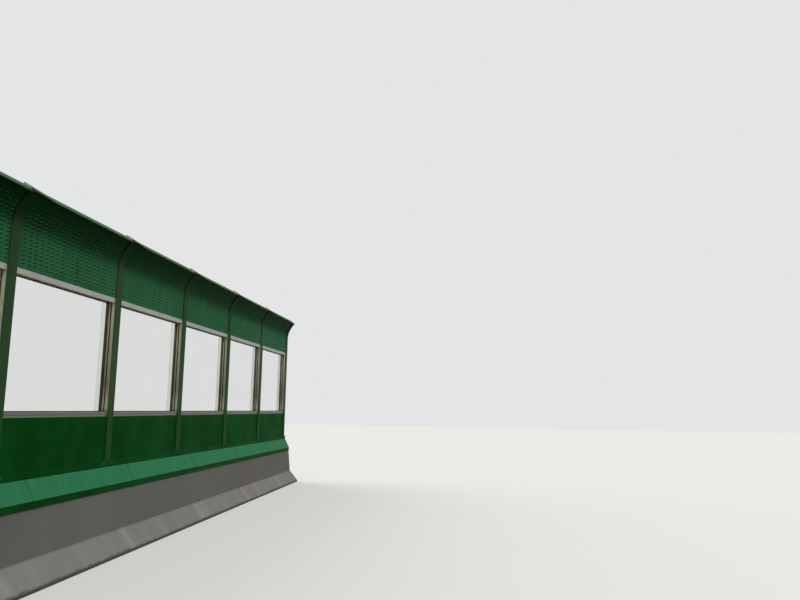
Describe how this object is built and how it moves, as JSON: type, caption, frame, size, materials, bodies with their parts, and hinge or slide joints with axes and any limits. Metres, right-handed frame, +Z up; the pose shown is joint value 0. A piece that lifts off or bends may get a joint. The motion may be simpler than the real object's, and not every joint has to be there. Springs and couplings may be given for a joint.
{
  "type": "highway noise barrier",
  "caption": "Straight run of roadside noise barrier: curved-top H-posts on a sloped concrete parapet hold plain, glazed and louvred metal panels.",
  "frame": {"origin": "middle of the run, on the road surface, in the plane of the posts' centres", "axes": "+X along the barrier, +Y away from the traffic, +Z up"},
  "size_m": [12.3, 0.523, 3.5514],
  "materials": {
    "concrete": "weathered cast concrete",
    "post_paint": "weathered satin paint",
    "panel_paint": "semi-gloss paint",
    "sill_paint": "semi-gloss paint",
    "cap_paint": "weathered satin paint",
    "frame_metal": "anodised satin",
    "window_sheet": "clear sheet"
  },
  "bodies": {
    "root": {"parapet": "concrete", "post_1": "post_paint", "post_2": "post_paint", "post_3": "post_paint", "post_4": "post_paint", "post_5": "post_paint", "post_6": "post_paint", "post_7": "post_paint", "lower_panel_1": "panel_paint", "window_frame_1": "frame_metal", "window_glass_1": "window_sheet", "upper_panel_1": "panel_paint", "top_cap_1": "cap_paint", "lower_panel_2": "panel_paint", "window_frame_2": "frame_metal", "window_glass_2": "window_sheet", "upper_panel_2": "panel_paint", "top_cap_2": "cap_paint", "lower_panel_3": "panel_paint", "window_frame_3": "frame_metal", "window_glass_3": "window_sheet", "upper_panel_3": "panel_paint", "top_cap_3": "cap_paint", "lower_panel_4": "panel_paint", "window_frame_4": "frame_metal", "window_glass_4": "window_sheet", "upper_panel_4": "panel_paint", "top_cap_4": "cap_paint", "lower_panel_5": "panel_paint", "window_frame_5": "frame_metal", "window_glass_5": "window_sheet", "upper_panel_5": "panel_paint", "top_cap_5": "cap_paint", "lower_panel_6": "panel_paint", "window_frame_6": "frame_metal", "window_glass_6": "window_sheet", "upper_panel_6": "panel_paint", "top_cap_6": "cap_paint", "sill_1": "sill_paint", "sill_2": "sill_paint", "sill_3": "sill_paint", "sill_4": "sill_paint", "sill_5": "sill_paint", "sill_6": "sill_paint", "sill_7": "sill_paint"}
  },
  "joints": []
}
